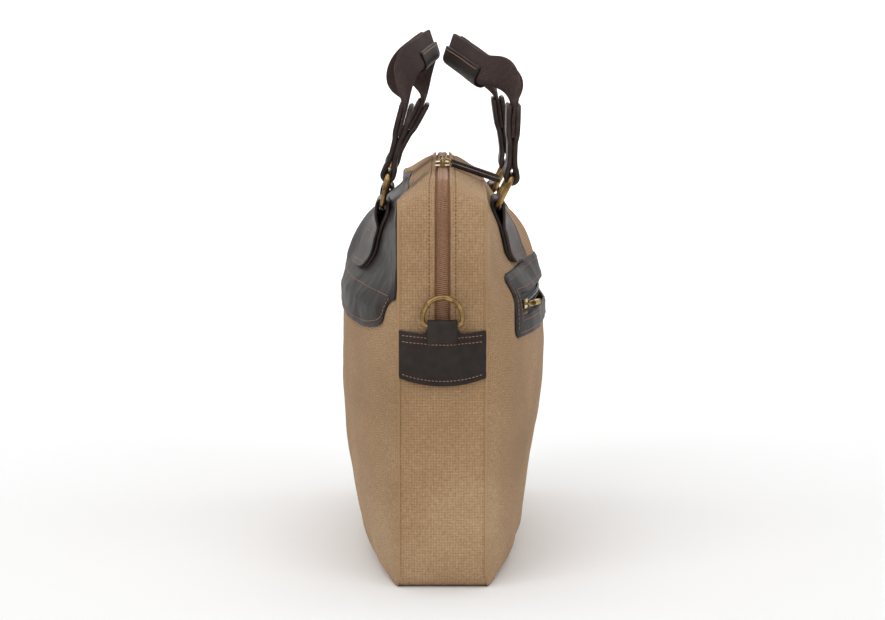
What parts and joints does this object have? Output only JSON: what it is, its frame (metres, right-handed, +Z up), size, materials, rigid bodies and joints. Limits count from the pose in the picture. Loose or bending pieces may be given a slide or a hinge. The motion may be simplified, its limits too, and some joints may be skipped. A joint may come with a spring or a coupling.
{
  "type": "satchel bag",
  "caption": "Soft canvas satchel with leather yoke, end bands and twin folded-webbing handles on brass rings, zip top with leather pulls and a back zip pocket.",
  "frame": {"origin": "centre of the bag's box on the floor plane, under the zip line", "axes": "+X along the bag's length, +Y towards the back (zip pocket) side, +Z up"},
  "size_m": [0.413, 0.1683, 0.4225],
  "materials": {
    "canvas": "plain woven cotton canvas, matt",
    "lining": "thin lining cloth",
    "leather": "dark brown smooth leather, soft sheen",
    "webbing": "dark brown cotton webbing",
    "zip_tape": "woven zip tape",
    "zip_coil": "nylon coil",
    "pocket_zip": "black coil and tape",
    "brass": "antique brass",
    "board": "stiff fibre board"
  },
  "bodies": {
    "bag": {"front_panel": "canvas", "back_panel": "canvas", "front_lining": "lining", "back_lining": "lining", "front_yoke": "leather", "pocket_frame": "leather", "pocket_bag": "lining", "bottom_panel": "canvas", "base_board": "board", "end_gusset_right": "canvas", "end_gusset_left": "canvas", "gusset_lining": "lining", "top_strip_front": "canvas", "top_strip_back": "canvas", "zip_tape_front": "zip_tape", "zip_coil_front": "zip_coil", "zip_tape_back": "zip_tape", "zip_coil_back": "zip_coil", "zip_stops": "brass", "end_band_right": "leather", "end_band_left": "leather", "d_tab_right": "leather", "d_tab_left": "leather", "handle_tab_front_right": "leather", "handle_tab_front_left": "leather", "handle_tab_back_right": "leather", "handle_tab_back_left": "leather", "pocket_tape_lower": "pocket_zip", "pocket_tape_upper": "pocket_zip", "pocket_coil_lower": "pocket_zip", "pocket_coil_upper": "pocket_zip"},
    "d_ring_right": {"d_ring_right": "brass"},
    "d_ring_left": {"d_ring_left": "brass"},
    "front_rings": {"ring_front_right": "brass", "ring_front_left": "brass"},
    "front_handle": {"sleeve_front_right": "leather", "sleeve_front_left": "leather", "webbing_front": "webbing", "grip_front": "leather"},
    "back_rings": {"ring_back_right": "brass", "ring_back_left": "brass"},
    "back_handle": {"sleeve_back_right": "leather", "sleeve_back_left": "leather", "webbing_back": "webbing", "grip_back": "leather"},
    "slider_right": {"zip_slider_right": "brass"},
    "slider_left": {"zip_slider_left": "brass"},
    "pull_right": {"pull_link_right": "brass", "pull_leather_right": "leather"},
    "pull_left": {"pull_link_left": "brass", "pull_leather_left": "leather"},
    "pocket_slider": {"pocket_slider": "brass"},
    "pocket_pull": {"pocket_pull": "brass"}
  },
  "joints": [
    {"name": "right_slider_travel", "type": "slide", "parent": "bag", "child": "slider_right", "axis": [1, 0, 0], "range_m": [0, 0.11]},
    {"name": "left_slider_travel", "type": "slide", "parent": "bag", "child": "slider_left", "axis": [-1, 0, 0], "range_m": [0, 0.13]},
    {"name": "right_pull_swing", "type": "hinge", "parent": "slider_right", "child": "pull_right", "pos_m": [0.034, 0, 0.3164], "axis": [1, 0, 0], "range_deg": [0, 100]},
    {"name": "left_pull_swing", "type": "hinge", "parent": "slider_left", "child": "pull_left", "pos_m": [-0.014, 0, 0.3164], "axis": [1, 0, 0], "range_deg": [0, 100]},
    {"name": "right_d_ring_swing", "type": "hinge", "parent": "bag", "child": "d_ring_right", "pos_m": [0.2024, 0, 0.204], "axis": [0, 1, 0], "range_deg": [0, 160]},
    {"name": "left_d_ring_swing", "type": "hinge", "parent": "bag", "child": "d_ring_left", "pos_m": [-0.2024, 0, 0.204], "axis": [0, -1, 0], "range_deg": [0, 160]},
    {"name": "front_ring_swing", "type": "hinge", "parent": "bag", "child": "front_rings", "pos_m": [0, -0.0475, 0.286], "axis": [1, 0, 0], "range_deg": [0, 100]},
    {"name": "front_handle_swing", "type": "hinge", "parent": "front_rings", "child": "front_handle", "pos_m": [0, -0.04283, 0.31005], "axis": [1, 0, 0], "range_deg": [0, 50]},
    {"name": "back_ring_swing", "type": "hinge", "parent": "bag", "child": "back_rings", "pos_m": [0, 0.0435, 0.286], "axis": [-1, 0, 0], "range_deg": [0, 60]},
    {"name": "back_handle_swing", "type": "hinge", "parent": "back_rings", "child": "back_handle", "pos_m": [0, 0.05462, 0.30783], "axis": [-1, 0, 0], "range_deg": [0, 90]},
    {"name": "pocket_slider_travel", "type": "hinge", "parent": "bag", "child": "pocket_slider", "pos_m": [0, -0.47604, 0.212], "axis": [0, 0, 1], "range_deg": [0, 27.5]},
    {"name": "pocket_pull_swing", "type": "hinge", "parent": "pocket_slider", "child": "pocket_pull", "pos_m": [0.13477, 0.0677, 0.212], "axis": [0, 0, -1], "range_deg": [0, 120]}
  ]
}
